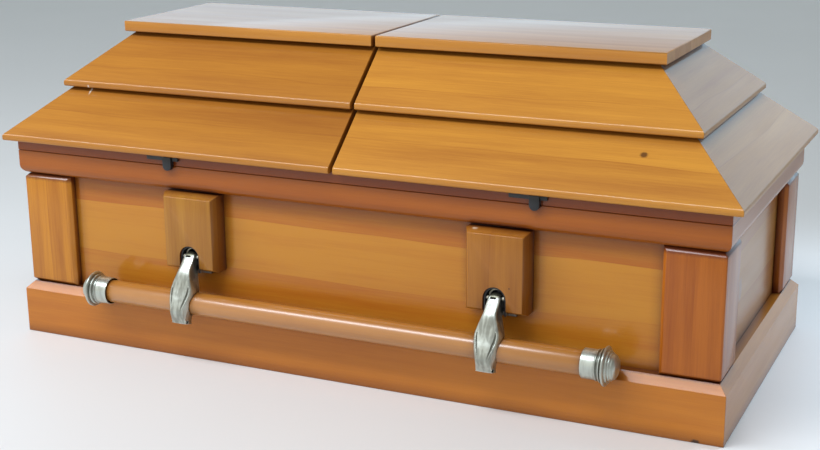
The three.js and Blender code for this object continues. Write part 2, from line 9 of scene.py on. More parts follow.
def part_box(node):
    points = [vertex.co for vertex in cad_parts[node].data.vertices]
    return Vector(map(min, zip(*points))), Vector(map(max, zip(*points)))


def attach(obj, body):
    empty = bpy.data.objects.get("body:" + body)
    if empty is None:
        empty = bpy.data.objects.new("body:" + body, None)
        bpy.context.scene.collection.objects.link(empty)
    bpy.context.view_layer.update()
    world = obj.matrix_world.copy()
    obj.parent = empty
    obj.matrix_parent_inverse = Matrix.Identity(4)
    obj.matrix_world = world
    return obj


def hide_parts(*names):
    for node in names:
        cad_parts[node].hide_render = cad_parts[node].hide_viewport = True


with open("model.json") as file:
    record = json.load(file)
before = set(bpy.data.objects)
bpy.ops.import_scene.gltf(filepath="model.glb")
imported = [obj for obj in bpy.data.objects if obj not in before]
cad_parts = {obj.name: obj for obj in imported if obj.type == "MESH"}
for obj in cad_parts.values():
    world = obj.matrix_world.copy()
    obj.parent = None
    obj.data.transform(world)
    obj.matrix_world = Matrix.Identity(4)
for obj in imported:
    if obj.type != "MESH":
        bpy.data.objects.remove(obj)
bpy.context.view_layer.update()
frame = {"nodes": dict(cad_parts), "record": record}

bl_info = {
    "name": "Wooden coffin with a stepped lid",
    "version": (1, 0, 0),
    "blender": (4, 5, 0),
    "location": "View3D > Sidebar > Coffin",
    "description": "Dresses the joinery of a lacquered coffin and casts its swing-bar handles",
    "category": "Object",
}

NODES = frame["nodes"]
BODY_OF = {node: body for body, members in frame["record"]["behaviour"]["bodies"].items() for node in members}
LONG_SIDES = ("front", "back")
ENDS = ("left", "right")
QUARTERS = [(side, hand) for side in LONG_SIDES for hand in ENDS]
HALF_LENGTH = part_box("lid_right_lower_end")[1][0]
HALF_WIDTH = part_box("lid_right_lower_back")[1][1]


# Sizes and colours that the sidebar shows

def stain(name, description, default):
    """A colour that the sidebar can change."""
    return bpy.props.FloatVectorProperty(
        name=name, description=description, subtype="COLOR", size=3, default=default, min=0, max=1,
    )


def strength(name, description, default):
    """A share from 0 to 1 that the sidebar can change."""
    return bpy.props.FloatProperty(name=name, description=description, default=default, min=0, max=1)


class CoffinWood(bpy.types.PropertyGroup):
    """Stain, painted corner shade and lacquer of the joinery"""

    light: stain("Light grain", "Stain on the open grain", (0.60, 0.265, 0.036))
    dark: stain("Dark grain", "Stain in the close grain and the darker staves", (0.37, 0.128, 0.018))
    # Colour of the painted shade in corners and under edges, with some stain gathered there
    edge: stain("Corner shade", "Stain that gathers in corners and under edges", (0.09, 0.018, 0.005))
    roughness: strength("Roughness", "Roughness of the stained wood under the lacquer", 0.45)
    lacquer: strength("Lacquer", "Strength of the clear coat", 0.75)
    ease: bpy.props.FloatProperty(
        name="Eased edge", description="Width that sanding takes off each board edge", default=0.0011,
        min=0, max=0.004, unit="LENGTH",
    )


class CoffinMetal(bpy.types.PropertyGroup):
    """Finish of the castings"""

    bright: stain("Bright metal", "Rubbed metal on the ridges", (0.44, 0.48, 0.44))
    dark: stain("Dark metal", "Antique darkening in the recesses", (0.07, 0.062, 0.042))
    black: stain("Black metal", "Blackened lugs and catches", (0.012, 0.014, 0.017))
    roughness: strength("Roughness", "Roughness of the polished castings", 0.34)
    voxel: bpy.props.FloatProperty(
        name="Casting grid", description="Grid that the cast arms are smoothed on", default=0.0006,
        min=0.0004, max=0.003, unit="LENGTH",
    )


# Small helpers

def settle():
    """Leaves every object unselected and in object mode."""
    if bpy.context.mode != "OBJECT":
        bpy.ops.object.mode_set(mode="OBJECT")
    bpy.ops.object.select_all(action="DESELECT")


def hold(obj):
    """Makes one object the only selected and active one."""
    settle()
    obj.select_set(True)
    bpy.context.view_layer.objects.active = obj


def edit(obj, kind="VERT", action="DESELECT"):
    """Opens one object in edit mode with all or nothing selected, and hands back its mesh."""
    hold(obj)
    bpy.ops.object.mode_set(mode="EDIT")
    bpy.ops.mesh.select_mode(type=kind)
    bpy.ops.mesh.select_all(action=action)
    return bmesh.from_edit_mesh(obj.data)


def face_outwards():
    """Selects the whole edited mesh and turns its faces outwards."""
    bpy.ops.mesh.select_all(action="SELECT")
    bpy.ops.mesh.normals_make_consistent(inside=False)


def started(name):
    """Names the object that a primitive has just made, and its mesh."""
    obj = bpy.context.object
    obj.name = name
    obj.data.name = name
    return obj


def finish_modifier(obj, kind, **values):
    """Adds a modifier with these values and applies it."""
    hold(obj)
    bpy.ops.object.modifier_add(type=kind)
    modifier = obj.modifiers[-1]
    for key, value in values.items():
        setattr(modifier, key, value)
    bpy.ops.object.modifier_apply(modifier=modifier.name)


def smooth(obj, degrees):
    """Shades an object smooth except over edges sharper than this."""
    hold(obj)
    bpy.ops.object.shade_smooth_by_angle(angle=radians(degrees))


def fasten(obj, material, slot, *nodes):
    """Gives a finished piece its material, its body and the nodes it stands for."""
    obj.data.materials.clear()
    obj.data.materials.append(material)
    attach(obj, BODY_OF[nodes[0]])
    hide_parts(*nodes)


MITRE_REACH = 0.00045
WELD_DISTANCE = 0.00001
FLAT_ANGLE = 1.5
CREASE_ANGLE = 30
BOARD_SMOOTH_ANGLE = 33


def on_mitre(vertex):
    """True for a point on one of the four mitre planes."""
    x, y, _ = vertex.co
    return abs(abs(x) - abs(y) - (HALF_LENGTH - HALF_WIDTH)) < MITRE_REACH


def eased_copy(name, node, ease, segments=2, mitred=True):
    """A clean copy of one node's solid with every sharp edge but its mitres sanded round."""
    settle()
    mesh = NODES[node].data.copy()
    obj = bpy.data.objects.new(name, mesh)
    mesh.name = name
    bpy.context.scene.collection.objects.link(obj)
    edit(obj, action="SELECT")
    bpy.ops.mesh.remove_doubles(threshold=WELD_DISTANCE)
    bpy.ops.mesh.dissolve_limited(angle_limit=radians(FLAT_ANGLE))
    shape = edit(obj, "EDGE")
    for edge in shape.edges:
        ends_on_mitre = mitred and all(on_mitre(vertex) for vertex in edge.verts)
        if edge.is_manifold and edge.calc_face_angle() > radians(CREASE_ANGLE) and not ends_on_mitre:
            edge.select_set(True)
    bmesh.update_edit_mesh(obj.data)
    bpy.ops.mesh.bevel(offset=ease, segments=segments, profile=0.5, clamp_overlap=True)
    smooth(obj, BOARD_SMOOTH_ANGLE)
    return obj


# Material tools

def node_group(name, inputs, outputs):
    """A new shader node group with its sockets, and its input and output nodes."""
    group = bpy.data.node_groups.new(name, "ShaderNodeTree")
    for socket, kind, default in inputs:
        made = group.interface.new_socket(socket, in_out="INPUT", socket_type=f"NodeSocket{kind}")
        if default is not None:
            made.default_value = default
    for socket, kind in outputs:
        group.interface.new_socket(socket, in_out="OUTPUT", socket_type=f"NodeSocket{kind}")
    return group, group.nodes.new("NodeGroupInput"), group.nodes.new("NodeGroupOutput")


def feed(tree, node, sources):
    """Links sockets into a node's inputs, or sets the inputs' own values."""
    for name, source in sources.items():
        if isinstance(source, bpy.types.NodeSocket):
            tree.links.new(source, node.inputs[name])
        else:
            node.inputs[name].default_value = source


def add(tree, kind, sources=None, **values):
    """Adds a node, sets its properties, and feeds its inputs with sockets or values."""
    node = tree.nodes.new(kind)
    for key, value in values.items():
        setattr(node, key, value)
    feed(tree, node, sources or {})
    return node


def math(tree, operation, first, second=0.0, clamp=False):
    """A Math node's value."""
    return add(tree, "ShaderNodeMath", {0: first, 1: second}, operation=operation, use_clamp=clamp).outputs[0]


def span(tree, value, low, high, to_low=0.0, to_high=1.0):
    """A smooth step between two values."""
    return add(
        tree, "ShaderNodeMapRange", {0: value, 1: low, 2: high, 3: to_low, 4: to_high},
        interpolation_type="SMOOTHSTEP",
    ).outputs[0]


def blend_colour(tree, share, first, second):
    """A colour between two others."""
    pair = [
        source if isinstance(source, bpy.types.NodeSocket) else (*source[:3], 1.0) for source in (first, second)
    ]
    return add(tree, "ShaderNodeMix", {0: share, 6: pair[0], 7: pair[1]}, data_type="RGBA").outputs[2]


def vector_math(tree, operation, first, second):
    """The outputs of a Vector Math node over two vectors."""
    return add(tree, "ShaderNodeVectorMath", {0: first, 1: second}, operation=operation).outputs


def noise(tree, vector, scale, detail=3.0, rough=0.55, distortion=0.0):
    """A Noise Texture's value over a stretched vector."""
    stretched = vector_math(tree, "MULTIPLY", vector, scale)[0]
    return add(
        tree, "ShaderNodeTexNoise",
        {"Vector": stretched, "Scale": 1.0, "Detail": detail, "Roughness": rough, "Distortion": distortion},
    ).outputs[0]


STAVE_KEY_STEP = 1.37
STAVE_OFFSET = 7.3
WAVER_NOISE = (3.0, 14.0, 14.0)
WAVER_DEPTH = 0.02
SEAM_WIDTH = 0.016
SEAM_DARKNESS = 0.22
SEAM_DEPTH = 0.6
CLOUD_NOISE = ((2.2, 16.0, 16.0), 2.0)
BAND_NOISE = ((2.0, 60.0, 60.0), 3.0, 0.6, 0.3)
FIBRE_NOISE = ((14.0, 420.0, 420.0), 4.0, 0.65)
PORE_NOISE = ((60.0, 1500.0, 1500.0), 2.0, 0.7)
LAYER_SHARES = (0.42, 0.38, 0.28, 0.08)
FIGURE_MIDDLE = 0.58
GRAIN_GAIN = 4.2
STAVE_MIDDLE = 0.42
DARK_SHARE = 0.4


def wood_grain_group():
    """Straight, quiet hardwood grain along the vector's X, on staves glued edge to edge."""
    group, source, result = node_group(
        "Wood grain",
        [
            ("Vector", "Vector", None),
            ("Light", "Color", (0.6, 0.3, 0.06, 1)),
            ("Dark", "Color", (0.4, 0.15, 0.03, 1)),
            ("Stave Width", "Float", 0.095),
            ("Stave Shift", "Float", 0.0),
            ("Stave Contrast", "Float", 0.5),
            ("Grain Contrast", "Float", 0.5),
            ("Seed", "Float", 0.0),
        ],
        [("Color", "Color"), ("Height", "Float"), ("Sheen", "Float")],
    )
    vector = source.outputs["Vector"]
    along, across, other = add(group, "ShaderNodeSeparateXYZ", {0: vector}).outputs
    waver = noise(group, vector, WAVER_NOISE, 1.0)
    drift = math(group, "MULTIPLY", math(group, "SUBTRACT", waver, 0.5), WAVER_DEPTH)
    place = math(group, "ADD", math(group, "ADD", across, drift), source.outputs["Stave Shift"])
    stave = math(group, "DIVIDE", place, source.outputs["Stave Width"])
    number = math(group, "FLOOR", stave)
    keyed = math(group, "ADD", math(group, "MULTIPLY", number, STAVE_KEY_STEP), source.outputs["Seed"])
    tone = add(group, "ShaderNodeTexWhiteNoise", {"W": keyed}, noise_dimensions="1D").outputs[0]
    inside = math(group, "FRACT", stave)
    near = math(group, "MINIMUM", inside, math(group, "SUBTRACT", 1.0, inside))
    seam = span(group, near, 0.0, SEAM_WIDTH, 1.0, 0.0)
    shifted = add(
        group, "ShaderNodeCombineXYZ",
        {0: math(group, "ADD", along, math(group, "MULTIPLY", tone, STAVE_OFFSET)), 1: across, 2: other},
    ).outputs[0]
    layers = [noise(group, shifted, *layer) for layer in (CLOUD_NOISE, BAND_NOISE, FIBRE_NOISE, PORE_NOISE)]
    cloud, band, fibre, pore = (math(group, "MULTIPLY", *pair) for pair in zip(layers, LAYER_SHARES))
    lines = math(group, "ADD", math(group, "ADD", cloud, band), math(group, "ADD", fibre, pore))
    centred = math(group, "SUBTRACT", lines, FIGURE_MIDDLE)
    grain = math(group, "MULTIPLY", centred, math(group, "MULTIPLY", source.outputs["Grain Contrast"], GRAIN_GAIN))
    stave_gap = math(group, "SUBTRACT", tone, STAVE_MIDDLE)
    stave_tone = math(group, "MULTIPLY", stave_gap, source.outputs["Stave Contrast"])
    share = math(group, "ADD", math(group, "ADD", grain, stave_tone), DARK_SHARE, clamp=True)
    lined = math(group, "ADD", share, math(group, "MULTIPLY", seam, SEAM_DARKNESS), clamp=True)
    colour = blend_colour(group, lined, source.outputs["Light"], source.outputs["Dark"])
    height = math(group, "SUBTRACT", layers[2], math(group, "MULTIPLY", seam, SEAM_DEPTH))
    feed(group, result, {"Color": colour, "Height": height, "Sheen": layers[0]})
    return group


def corner_shade_group():
    """How much painted shade, with some stain, goes on the wood, and how much tarnish on the metal, where surfaces
    close in on each other, from 0 to 1.
    """
    group, source, result = node_group(
        "Corner shade",
        [("Reach", "Float", 0.02), ("Strength", "Float", 1.0)],
        [("Mask", "Float")],
    )
    shade = add(group, "ShaderNodeAmbientOcclusion", {"Distance": source.outputs["Reach"]}, samples=6)
    closed = math(group, "SUBTRACT", 1.0, shade.outputs["AO"])
    mask = math(group, "MULTIPLY", closed, source.outputs["Strength"], clamp=True)
    group.links.new(mask, result.inputs["Mask"])
    return group


RAGGED_NOISE = (300.0, 300.0, 300.0)
MARK_CORE = 0.45
FLANK_FACING = (0.75, 0.97)
MOTTLE_NOISE = (180.0, 180.0, 180.0)
MOTTLE_DEPTH = 0.03


def mark_group():
    """One spot on a surface, soft at its rim and uneven within, from 0 to 1: wear, spills and knots, and also
    painted shade, shadows, highlights and reflections.
    """
    group, source, result = node_group(
        "Mark",
        [("Vector", "Vector", None), ("Centre", "Vector", (0, 0, 0)),
         ("Size", "Vector", (0.01, 0.01, 0.01)), ("Strength", "Float", 1.0)],
        [("Mask", "Float")],
    )
    vector = source.outputs["Vector"]
    gap = vector_math(group, "SUBTRACT", vector, source.outputs["Centre"])[0]
    scaled = vector_math(group, "DIVIDE", gap, source.outputs["Size"])[0]
    reach = add(group, "ShaderNodeVectorMath", {0: scaled}, operation="LENGTH").outputs["Value"]
    uneven = math(group, "SUBTRACT", noise(group, vector, RAGGED_NOISE, 3.0), 0.5)
    ragged = math(group, "ADD", reach, math(group, "MULTIPLY", uneven, 0.5))
    mask = math(group, "MULTIPLY", span(group, ragged, MARK_CORE, 1.0, 1.0, 0.0), source.outputs["Strength"])
    group.links.new(mask, result.inputs["Mask"])
    return group


def flank_group():
    """Where a surface looks along the coffin's length, from 0 to 1: painted shade on end faces and flanks."""
    group, source, result = node_group(
        "Painted flank shade", [("Strength", "Float", 0.5)], [("Mask", "Float")]
    )
    facing = add(group, "ShaderNodeNewGeometry").outputs["True Normal"]
    along = add(group, "ShaderNodeSeparateXYZ", {0: facing}).outputs[0]
    turned_away = span(group, math(group, "ABSOLUTE", along), *FLANK_FACING)
    group.links.new(math(group, "MULTIPLY", turned_away, source.outputs["Strength"]), result.inputs["Mask"])
    return group


def rubbed_group():
    """Where hands and polishing rub: high on ridges and edges, low in hollows."""
    group, source, result = node_group(
        "Rubbed edges",
        [("Low", "Float", 0.45), ("High", "Float", 0.55), ("Vector", "Vector", None)],
        [("Mask", "Float")],
    )
    shape = add(group, "ShaderNodeNewGeometry").outputs["Pointiness"]
    uneven = math(group, "SUBTRACT", noise(group, source.outputs["Vector"], MOTTLE_NOISE, 3.0), 0.5)
    mottled = math(group, "ADD", shape, math(group, "MULTIPLY", uneven, MOTTLE_DEPTH))
    mask = span(group, mottled, source.outputs["Low"], source.outputs["High"])
    group.links.new(mask, result.inputs["Mask"])
    return group


GROUPS = {}


def place_group(tree, name, sources):
    """Places one of the shared groups in a material with its own values."""
    return add(tree, "ShaderNodeGroup", sources, node_tree=GROUPS[name]).outputs


def new_material(name):
    """An empty node material with its Principled shader and the piece's own coordinates."""
    material = bpy.data.materials.new(name)
    material.use_nodes = True
    tree = material.node_tree
    shader = tree.nodes["Principled BSDF"]
    where = tree.nodes.new("ShaderNodeTexCoord").outputs["Object"]
    return material, tree, shader, where


def add_marks(tree, where, colour, marks):
    """Lays marks over a colour: marks of use, and painted shade, shadows, highlights and reflections."""
    for centre, size, share, tone in marks:
        sources = {"Vector": where, "Centre": centre, "Size": size, "Strength": share}
        colour = blend_colour(tree, place_group(tree, "Mark", sources)["Mask"], colour, tone)
    return colour


def relief(tree, height, share, distance):
    """The normal of a surface that a height roughens."""
    return add(tree, "ShaderNodeBump", {"Height": height, "Strength": share, "Distance": distance}).outputs[0]


# Stained wood: colour of the painted shade on faces that look along the coffin, reach of the painted corner shade,
# and swing of the roughness
FLANK_SHADE_COLOUR = (0.10, 0.018, 0.004)
WOOD_SHADE_REACH = 0.022
WOOD_ROUGH_SWING = 0.06
WOOD_RELIEF = (0.12, 0.0006)
WOOD_SPECULAR = 0.1


def wood_material(title, direction, stave, shift, staves, figure, seed, tint, across="z", marks=(),
                  flank=0.0, shade=1.25, coat_rough=0.16, coat_ior=1.5, dark_shift=(1, 1, 1)):
    """Stained and lacquered hardwood whose grain runs along one axis of the coffin."""
    wood = bpy.context.scene.coffin_wood
    material, tree, shader, where = new_material(title)
    axes = dict(zip("xyz", add(tree, "ShaderNodeSeparateXYZ", {0: where}).outputs))
    other = "xyz".replace(direction, "").replace(across, "")
    along_grain = add(
        tree, "ShaderNodeCombineXYZ", {0: axes[direction], 1: axes[across], 2: axes[other]}
    ).outputs[0]
    light = [min(channel * share, 1) for channel, share in zip(wood.light, tint)] + [1]
    dark = [channel * share * extra for channel, share, extra in zip(wood.dark, tint, dark_shift)] + [1]
    grain = place_group(tree, "Wood grain", {
        "Vector": along_grain, "Light": light, "Dark": dark, "Stave Width": stave, "Stave Shift": shift,
        "Stave Contrast": staves, "Grain Contrast": figure, "Seed": seed,
    })
    # Painted shade in corners and under edges, with some stain gathered there
    painted_corner_shade = place_group(tree, "Corner shade", {"Reach": WOOD_SHADE_REACH, "Strength": shade})["Mask"]
    colour = blend_colour(tree, painted_corner_shade, grain["Color"], wood.edge)
    # Painted shade on faces that look along the coffin
    if flank:
        flank_shaded = place_group(tree, "Painted flank shade", {"Strength": flank})["Mask"]
        colour = blend_colour(tree, flank_shaded, colour, FLANK_SHADE_COLOUR)
    low, high = wood.roughness - WOOD_ROUGH_SWING, wood.roughness + WOOD_ROUGH_SWING
    feed(tree, shader, {
        "Base Color": add_marks(tree, where, colour, marks),
        "Roughness": span(tree, grain["Sheen"], 0.2, 0.8, low, high),
        "Normal": relief(tree, grain["Height"], *WOOD_RELIEF),
        "Coat Weight": wood.lacquer,
        "Coat Roughness": coat_rough,
        "Coat IOR": coat_ior,
        "Specular IOR Level": WOOD_SPECULAR,
    })
    return material


# Plated castings: tarnish in the hollows and in patches, cloudy roughness and fine grit
TARNISH_REACH = 0.005
TARNISH_STRENGTH = 1.9
PATCH_NOISE = (150.0, 90.0, 20.0)
PATCH_SPAN = (0.38, 0.60)
PLATE_NOISE = (90.0, 90.0, 90.0)
PLATE_ROUGH_SWING = (-0.05, 0.08)
GRIT_NOISE = (900.0, 900.0, 900.0)
GRIT_RELIEF = (0.05, 0.0003)
PLATE_METALLIC = 0.86


def pewter_material(title, low, high, least, shine, marks=(), worst=0.75):
    """Antique plate: bright where it is rubbed and dark in the hollows."""
    metal = bpy.context.scene.coffin_metal
    material, tree, shader, where = new_material(title)
    rubbed = place_group(tree, "Rubbed edges", {"Vector": where, "Low": low, "High": high})["Mask"]
    closed = place_group(tree, "Corner shade", {"Reach": TARNISH_REACH, "Strength": TARNISH_STRENGTH})["Mask"]
    tarnish = span(tree, noise(tree, where, PATCH_NOISE, 2.0), *PATCH_SPAN, worst, 1.0)
    bare = math(tree, "SUBTRACT", 1.0, closed, clamp=True)
    worn = math(tree, "MULTIPLY", span(tree, rubbed, 0.0, 1.0, least, 1.0), bare)
    worn = math(tree, "MULTIPLY", worn, tarnish)
    bright = [min(channel * shine, 1.0) for channel in metal.bright]
    colour = blend_colour(tree, worn, metal.dark, bright)
    smoothest, roughest = (metal.roughness + swing for swing in PLATE_ROUGH_SWING)
    feed(tree, shader, {
        "Base Color": add_marks(tree, where, colour, marks),
        "Roughness": span(tree, noise(tree, where, PLATE_NOISE, 4.0), 0.3, 0.7, smoothest, roughest),
        "Normal": relief(tree, noise(tree, where, GRIT_NOISE, 2.0), *GRIT_RELIEF),
        "Metallic": PLATE_METALLIC,
    })
    return material


# Blackened iron: where the bare metal shows, and the ring that the arm has rubbed round its pivot, painted bright
# on its upper half as a highlight
IRON_RUBBED = (0.56, 0.72)
IRON_BARE = (0.3, 0.3, 0.28)
IRON_NOISE = (220.0, 220.0, 220.0)
IRON_ROUGHNESS = (0.34, 0.5)
IRON_METALLIC = 0.8
# The ring: rubbed metal, its colour raised as a painted highlight
RING_COLOUR = (0.90, 0.85, 0.64)
RING_STRENGTH = 0.8
RING_RIMS = (0.0008, 0.0006)
RING_FACE_RIM = 0.001
RING_ABOVE = (-0.004, 0.002)


def ring_mask(tree, where, centre, inner, outer, face):
    """The upper half of a ring on a lug's outer face, where its painted highlight goes, from 0 to 1."""
    x, y, z = add(tree, "ShaderNodeSeparateXYZ", {0: where}).outputs
    aside = math(tree, "SUBTRACT", math(tree, "ABSOLUTE", x), centre[0])
    above = math(tree, "SUBTRACT", z, centre[1])
    squares = math(tree, "ADD", math(tree, "MULTIPLY", aside, aside), math(tree, "MULTIPLY", above, above))
    reach = math(tree, "SQRT", squares)
    beyond = span(tree, reach, inner, inner + RING_RIMS[0])
    within = span(tree, reach, outer, outer + RING_RIMS[1], 1.0, 0.0)
    in_front = span(tree, math(tree, "ABSOLUTE", y), face, face + RING_FACE_RIM)
    upper = math(tree, "MULTIPLY", span(tree, above, *RING_ABOVE), RING_STRENGTH)
    band = math(tree, "MULTIPLY", math(tree, "MULTIPLY", beyond, within), in_front)
    return math(tree, "MULTIPLY", band, upper)


def black_material(title, ring=None):
    """Blackened iron, worn through on its edges, with a rubbed ring painted bright as a highlight if one is given.
    """
    metal = bpy.context.scene.coffin_metal
    material, tree, shader, where = new_material(title)
    low, high = IRON_RUBBED
    rubbed = place_group(tree, "Rubbed edges", {"Vector": where, "Low": low, "High": high})["Mask"]
    colour = blend_colour(tree, rubbed, metal.black, IRON_BARE)
    if ring:
        colour = blend_colour(tree, ring_mask(tree, where, **ring), colour, RING_COLOUR)
    feed(tree, shader, {
        "Base Color": colour,
        "Roughness": span(tree, noise(tree, where, IRON_NOISE, 3.0), 0.3, 0.7, *IRON_ROUGHNESS),
        "Metallic": math(tree, "MULTIPLY", rubbed, IRON_METALLIC),
    })
    return material


FLOOR_NOISE = (1.5, 1.5, 1.5)
FLOOR_TONES = ((0.76, 0.76, 0.755), (0.8, 0.8, 0.795))
FLOOR_ROUGHNESS = 0.6


def floor_material(title):
    """A pale, matt floor with the faintest unevenness."""
    material, tree, shader, where = new_material(title)
    colour = blend_colour(tree, noise(tree, where, FLOOR_NOISE, 2.0), *FLOOR_TONES)
    feed(tree, shader, {"Base Color": colour, "Roughness": FLOOR_ROUGHNESS})
    return material


# Marks: middle, reach along each axis, strength and colour; the painted light among them is named at each
LID_MARKS = (
    ((0.4798, -0.2331, 0.4107), (0.0075, 0.0065, 0.0065), 0.8, (0.05, 0.012, 0.004)),
    ((-0.51, -0.218, 0.434), (0.003, 0.022, 0.01), 0.9, (0.75, 0.72, 0.66)),
)
# A bluish patch on the right end wall: a painted reflection
PANEL_MARKS = (((0.5995, -0.0921, 0.179), (0.01, 0.016, 0.024), 0.3, (0.16, 0.20, 0.34)),)
PLINTH_MARKS = (
    ((0.5851, -0.2812, 0.0014), (0.008, 0.01, 0.005), 0.9, (0.02, 0.012, 0.008)),
    # A dark line along the ledge behind the plinth's chamfer: a painted shadow where the walls and casings stand
    # over it
    ((0.0, -0.26, 0.0915), (5.0, 0.015, 0.004), 0.8, (0.08, 0.018, 0.005)),
)
# A dark band across the tops of the casings: painted shade under the rail
CASING_MARKS = (((0.0, 0.0, 0.2887), (5.0, 5.0, 0.012), 0.7, (0.12, 0.022, 0.006)),)
BLOCK_MARKS = (
    # A pale spot on the top bevel of the front right block: a painted highlight
    ((0.2365, -0.2830, 0.2872), (0.0085, 0.008, 0.0028), 0.85, (0.72, 0.6, 0.45)),
    ((0.2959, -0.2888, 0.2004), (0.0017, 0.004, 0.0017), 0.85, (0.03, 0.008, 0.004)),
)

# The arm's pivot, and marks as gaps from there: painted shade in its slot and foot holes, and tarnish on its neck
PIVOT_X = 0.2718
PIVOT_Y = 0.281
PIVOT_Z = 0.180
ARM_SPOTS = (
    # Painted shade in the slot
    ((-0.0012, -0.0088, 0.0028), (0.005, 0.005, 0.0011), 0.85, (0.02, 0.018, 0.014)),
    # Painted shade in the foot hole
    ((0.0135, -0.0437, -0.0999), (0.0034, 0.006, 0.0028), 0.8, (0.02, 0.018, 0.014)),
    ((0.0, -0.005, 0.0085), (0.015, 0.02, 0.008), 0.85, (0.10, 0.095, 0.05)),
)
ARM_MARKS = tuple(
    ((hand * PIVOT_X - side * dx, side * (PIVOT_Y - dy), PIVOT_Z + dz), size, strength, tone)
    for hand in (-1, 1) for side in (-1, 1) for (dx, dy, dz), size, strength, tone in ARM_SPOTS
)
LUG_RING = {"centre": (PIVOT_X, 0.181), "inner": 0.0108, "outer": 0.0136, "face": 0.2756}

# What the boards of one kind share
WALL_BOARD = {
    "stave": 0.087, "shift": 0.014, "seed": 243.75, "marks": PANEL_MARKS, "dark_shift": (1.22, 1.02, 0.80),
}
LID_LONG = {"direction": "x", "stave": 0.07, "shift": 0.02, "figure": 0.60, "marks": LID_MARKS, "shade": 0.75}
LID_END = {"direction": "y", "stave": 0.07, "shift": 0.02, "staves": 0.3, "figure": 0.45}
RAIL = {"stave": 0.2, "shift": 0.0, "staves": 0.2, "figure": 0.5}
PLINTH = {"stave": 0.2, "shift": 0.05, "staves": 0.2, "figure": 0.4}
UPRIGHT = {"direction": "z", "across": "x", "stave": 0.044, "shift": 0.0}
CASING = {**UPRIGHT, "marks": CASING_MARKS, "flank": 0.2, "shade": 1.6}
BLOCK = {**UPRIGHT, "staves": 0.12, "figure": 0.7, "flank": 0.6}
LEFT_LID = (0.80, 0.75, 0.60)

# Each wood: what its kind shares, and what it has of its own
WOODS = {
    "wall_long": dict(
        WALL_BOARD, title="Wall boards, long", direction="x", staves=0.80, figure=0.58,
        tint=(0.88, 0.83, 0.50),
    ),
    # End wall: less red and more blue than the long walls, a painted shade and painted reflection on the end face
    "wall_end": dict(
        WALL_BOARD, title="Wall boards, end", direction="y", staves=0.50, figure=0.35,
        tint=(0.68, 0.72, 1.00),
    ),
    "slope_long_left": dict(LID_LONG, title="Lid boards, left", staves=0.25, seed=11.0, tint=LEFT_LID),
    "slope_long_right": dict(
        LID_LONG, title="Lid boards, right", staves=0.3, seed=4.0, tint=(0.99, 1.0, 0.90),
    ),
    "slope_end_left": dict(LID_END, title="Lid boards, left end", seed=4.0, tint=LEFT_LID),
    # Right lid end: darker and greyer than the right lid's long boards, a painted shade and painted reflection on
    # the end
    "slope_end_right": dict(LID_END, title="Lid boards, right end", seed=6.0, tint=(0.78, 0.82, 0.85)),
    "slab": dict(
        title="Lid slab", direction="x", across="y", stave=0.09, shift=0.0, staves=0.3, figure=0.45,
        seed=8.0, tint=(0.92, 0.92, 0.9),
    ),
    "rail_long": dict(RAIL, title="Rails, long", direction="x", seed=2.0, tint=(0.64, 0.39, 0.10)),
    "rail_end": dict(RAIL, title="Rails, end", direction="y", seed=6.0, tint=(0.62, 0.42, 0.18)),
    "rim_long": dict(RAIL, title="Rim strips, long", direction="x", seed=2.0, tint=(0.50, 0.25, 0.08)),
    "rim_end": dict(RAIL, title="Rim strips, end", direction="y", seed=6.0, tint=(0.50, 0.25, 0.10)),
    "plinth_long": dict(
        PLINTH, title="Plinth boards, long", direction="x", seed=7.0, tint=(0.98, 0.80, 0.5), marks=PLINTH_MARKS,
    ),
    # Plinth end: less red and more blue than the long plinth boards, a painted shade and painted reflection on the
    # end
    "plinth_end": dict(PLINTH, title="Plinth boards, end", direction="y", seed=9.0, tint=(0.86, 0.80, 0.7)),
    "casing_left": dict(
        CASING, title="Casings, left", staves=0.10, figure=0.8, seed=1.0, tint=(0.93, 0.84, 0.45),
    ),
    "casing_right": dict(
        CASING, title="Casings, right", staves=0.12, figure=0.9, seed=1.7, tint=(0.72, 0.46, 0.22),
    ),
    "block_left": dict(BLOCK, title="Handle blocks, left", seed=5.0, tint=(0.70, 0.71, 0.62)),
    "block_right": dict(
        BLOCK, title="Handle blocks, right", seed=1.0, tint=(0.64, 0.56, 0.42), marks=BLOCK_MARKS,
    ),
    "bar": dict(
        title="Bars", direction="x", stave=0.3, shift=0.0, staves=0.1, figure=0.35, seed=2.5,
        tint=(0.88, 0.86, 0.90), coat_rough=0.28, coat_ior=2.1,
    ),
}
PLATES = {
    "pewter": dict(title="Antique pewter", low=0.42, high=0.51, least=0.35, shine=1.28),
    "arm": dict(
        title="Antique pewter, arms", low=0.43, high=0.60, least=0.34, shine=1.90, marks=ARM_MARKS, worst=0.56,
    ),
    "hinge": dict(title="Hinge metal", low=0.4, high=0.5, least=0.4, shine=1.0),
}
MATERIALS = {}


def make_materials():
    """Builds the shared effects and one material for each kind of board and casting."""
    GROUPS["Wood grain"] = wood_grain_group()
    GROUPS["Corner shade"] = corner_shade_group()
    GROUPS["Mark"] = mark_group()
    GROUPS["Painted flank shade"] = flank_group()
    GROUPS["Rubbed edges"] = rubbed_group()
    for key, look in WOODS.items():
        MATERIALS[key] = wood_material(**look)
    for key, look in PLATES.items():
        MATERIALS[key] = pewter_material(**look)
    MATERIALS["black"] = black_material("Black metal")
    MATERIALS["lug"] = black_material("Black metal, lugs", LUG_RING)


# Pieces

def boards(kinds):
    """Eases a set of (piece name, node, material) boards."""
    wood = bpy.context.scene.coffin_wood
    for name, node, material in kinds:
        fasten(eased_copy(name, node, wood.ease), MATERIALS[material], "honey_wood", node)


